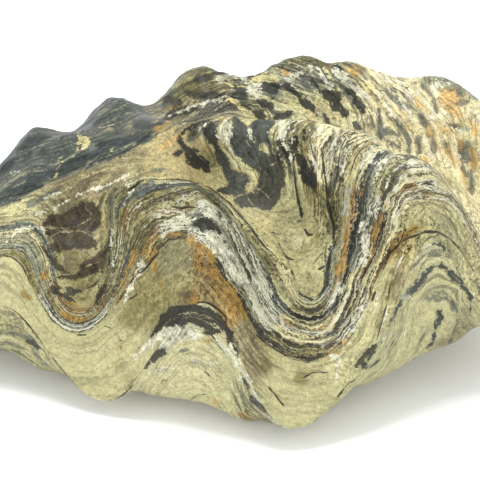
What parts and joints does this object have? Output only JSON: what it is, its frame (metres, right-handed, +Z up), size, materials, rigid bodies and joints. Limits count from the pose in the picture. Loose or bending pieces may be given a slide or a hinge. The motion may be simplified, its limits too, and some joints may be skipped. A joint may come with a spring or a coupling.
{
  "type": "fossil oyster shell",
  "caption": "Closed fossil oyster shell with large rounded folds and a zigzag edge, polished, lying on its lower valve.",
  "frame": {"origin": "middle of the bounding box, on the surface the shell rests on", "axes": "+X along the shell to the end whose folds stand higher, +Y to the steep far side, +Z up"},
  "size_m": [0.132, 0.0741, 0.0545],
  "materials": {
    "banded_stone": "polished banded limestone, brown, cream and blue-grey",
    "pale_stone": "polished pale olive-cream limestone"
  },
  "bodies": {
    "root": {"upper_valve": "banded_stone", "lower_valve": "pale_stone"}
  },
  "joints": []
}
